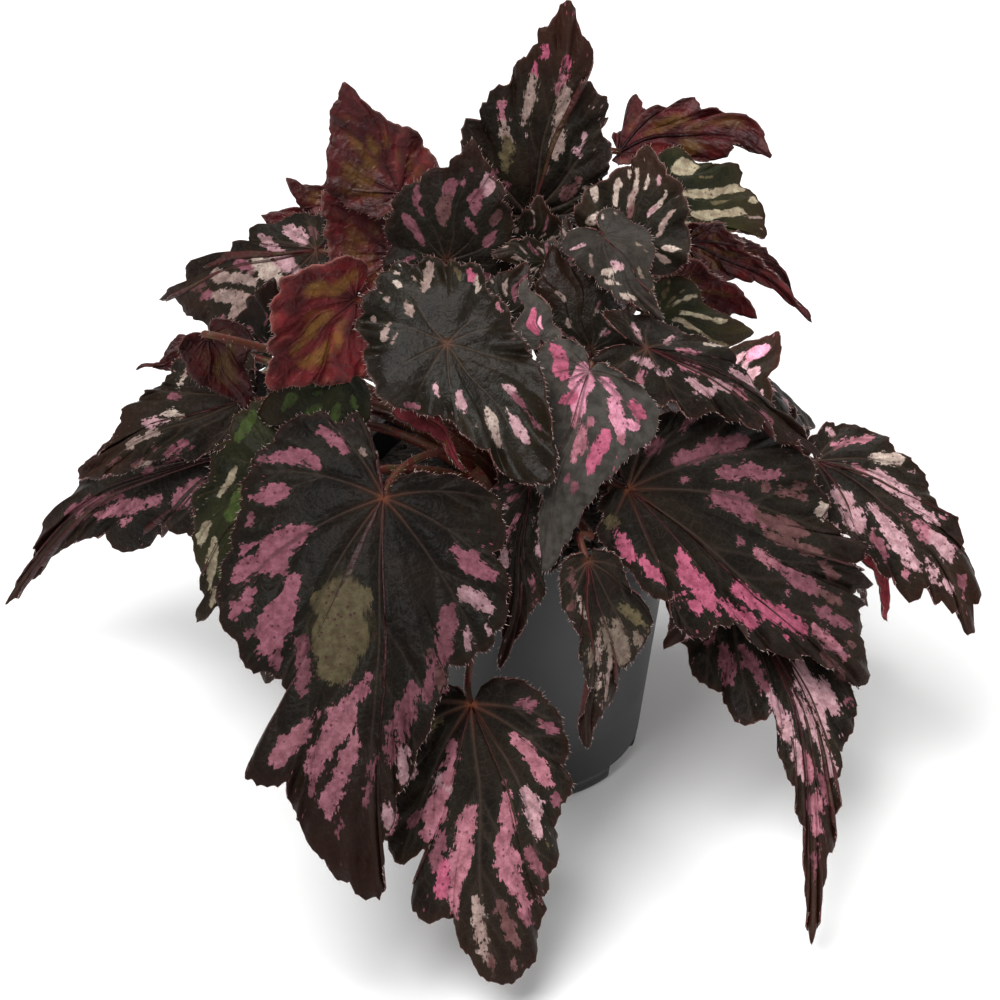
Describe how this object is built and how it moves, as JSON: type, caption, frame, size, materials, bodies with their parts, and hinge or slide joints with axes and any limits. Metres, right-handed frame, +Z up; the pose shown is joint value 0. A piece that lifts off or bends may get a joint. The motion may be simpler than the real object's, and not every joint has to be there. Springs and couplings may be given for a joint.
{
  "type": "potted rex begonia",
  "caption": "Rex begonia house plant with lobed, waved, pink and silver splashed leaves on red stalks, growing in a plain round nursery pot that stands on its foot ring.",
  "frame": {"origin": "on the pot's axis, in the plane of the pot's flat underside, where it stands", "axes": "+Z up along the pot's axis; -Y towards the viewer of the plant's full front; +X to the viewer's right"},
  "size_m": [0.4448, 0.411, 0.335],
  "materials": {
    "pot_plastic": "satin",
    "soil": "matte",
    "stalk": "satin",
    "leaf_pink_splashed": "satin",
    "leaf_silver_splashed": "satin",
    "leaf_dark": "satin",
    "leaf_green_striped": "satin",
    "leaf_red_back": "satin"
  },
  "bodies": {
    "root": {"pot": "pot_plastic", "soil": "soil", "rhizome_with_stalks": "stalk", "leaf_front_left": "leaf_pink_splashed", "leaf_front_low": "leaf_pink_splashed", "leaf_right_large": "leaf_pink_splashed", "leaf_far_right": "leaf_pink_splashed", "leaf_right_hanging": "leaf_pink_splashed", "leaf_front_small": "leaf_silver_splashed", "leaf_centre_folded": "leaf_pink_splashed", "leaf_centre_dark": "leaf_dark", "leaf_top_upright": "leaf_silver_splashed", "leaf_top_left_red": "leaf_red_back", "leaf_left_red": "leaf_red_back", "leaf_left_upper": "leaf_silver_splashed", "leaf_left_middle": "leaf_silver_splashed", "leaf_left_long_tail": "leaf_pink_splashed", "leaf_upper_centre": "leaf_pink_splashed", "leaf_upper_right_red": "leaf_red_back", "leaf_right_green": "leaf_green_striped", "leaf_curly_fan": "leaf_silver_splashed", "leaf_dark_folded": "leaf_silver_splashed", "leaf_right_red_tail": "leaf_red_back", "leaf_right_red_curl": "leaf_red_back", "leaf_right_brown": "leaf_red_back", "leaf_right_olive": "leaf_green_striped", "leaf_right_pale_pink": "leaf_pink_splashed", "leaf_right_dark_long": "leaf_pink_splashed", "leaf_bud": "leaf_pink_splashed", "leaf_young_dark_low": "leaf_dark", "leaf_young_dark_high": "leaf_dark", "leaf_young_rolled": "leaf_red_back", "leaf_centre_low": "leaf_pink_splashed", "leaf_right_under": "leaf_red_back", "leaf_far_right_sliver": "leaf_red_back", "leaf_left_green": "leaf_green_striped", "leaf_left_low_dark": "leaf_dark", "leaf_shadow_green": "leaf_green_striped", "leaf_left_brown": "leaf_red_back", "leaf_left_behind": "leaf_red_back", "leaf_left_small_red": "leaf_red_back", "leaf_left_low_red": "leaf_red_back", "leaf_left_deep_red": "leaf_red_back", "leaf_left_shaded": "leaf_dark", "leaf_left_shaded_high": "leaf_dark", "leaf_crown_shaded": "leaf_dark", "leaf_crown_shaded_low": "leaf_dark", "leaf_centre_shaded": "leaf_dark", "leaf_centre_upright": "leaf_dark", "leaf_back_right": "leaf_pink_splashed", "leaf_back_middle": "leaf_silver_splashed", "leaf_back_left": "leaf_pink_splashed", "leaf_back_far_left": "leaf_green_striped", "leaf_back_low_right": "leaf_silver_splashed", "leaf_back_low_left": "leaf_pink_splashed", "leaf_back_low_middle": "leaf_dark", "leaf_right_low_back": "leaf_pink_splashed"}
  },
  "joints": []
}
